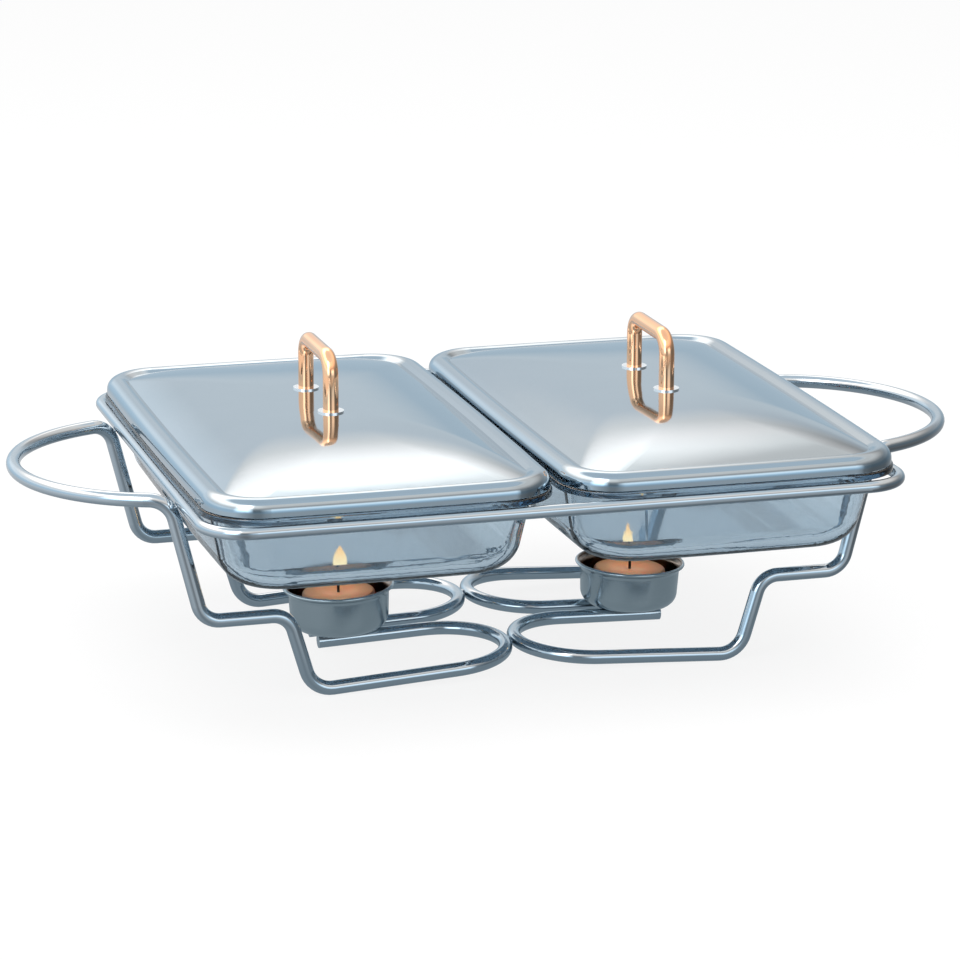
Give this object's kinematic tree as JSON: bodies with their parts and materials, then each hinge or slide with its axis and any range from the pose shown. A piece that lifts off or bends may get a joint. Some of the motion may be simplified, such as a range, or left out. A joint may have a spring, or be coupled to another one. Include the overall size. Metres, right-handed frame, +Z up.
{
  "type": "food warmer",
  "caption": "Candle-heated buffet food warmer: glass dishes with loose domed steel lids and gold bow handles, hung side by side in a bent-wire stand with end handles.",
  "frame": {"origin": "on the table, under the middle of the stand", "axes": "+X along the stand, -Y towards the front, +Z up"},
  "size_m": [0.486, 0.288, 0.1594],
  "materials": {
    "chrome_rod": "polished plating",
    "cup_steel": "satin",
    "dish_glass": "clear, pale blue",
    "lid_steel": "mirror polished",
    "gold_plate": "polished rose gold",
    "washer_steel": "bright",
    "screw_steel": "bright zinc",
    "wax": "soft, waxy",
    "wick_cotton": "charred cotton",
    "tab_tin": "bright tin"
  },
  "bodies": {
    "stand": {"top_ring": "chrome_rod", "left_leg_wire": "chrome_rod", "right_leg_wire": "chrome_rod", "left_candle_cup": "cup_steel", "right_candle_cup": "cup_steel"},
    "left_dish": {"left_dish": "dish_glass"},
    "left_lid": {"left_lid_shell": "lid_steel", "left_lid_handle": "gold_plate", "left_handle_washers": "washer_steel", "left_inner_washers": "washer_steel", "left_handle_screws": "screw_steel"},
    "left_candle": {"left_candle_wax": "wax", "left_wick": "wick_cotton", "left_wick_tab": "tab_tin"},
    "right_dish": {"right_dish": "dish_glass"},
    "right_lid": {"right_lid_shell": "lid_steel", "right_lid_handle": "gold_plate", "right_handle_washers": "washer_steel", "right_inner_washers": "washer_steel", "right_handle_screws": "screw_steel"},
    "right_candle": {"right_candle_wax": "wax", "right_wick": "wick_cotton", "right_wick_tab": "tab_tin"}
  },
  "joints": [
    {"name": "left_dish_lift", "type": "slide", "parent": "stand", "child": "left_dish", "axis": [0, 0, 1], "range_m": [0, 0.12]},
    {"name": "left_lid_lift", "type": "slide", "parent": "left_dish", "child": "left_lid", "axis": [0, 0, 1], "range_m": [0, 0.08]},
    {"name": "left_candle_lift", "type": "slide", "parent": "stand", "child": "left_candle", "axis": [-0.0349, 0, 0.9994], "range_m": [0, 0.024]},
    {"name": "right_dish_lift", "type": "slide", "parent": "stand", "child": "right_dish", "axis": [0, 0, 1], "range_m": [0, 0.12]},
    {"name": "right_lid_lift", "type": "slide", "parent": "right_dish", "child": "right_lid", "axis": [0, 0, 1], "range_m": [0, 0.08]},
    {"name": "right_candle_lift", "type": "slide", "parent": "stand", "child": "right_candle", "axis": [0.0349, 0, 0.9994], "range_m": [0, 0.024]}
  ]
}
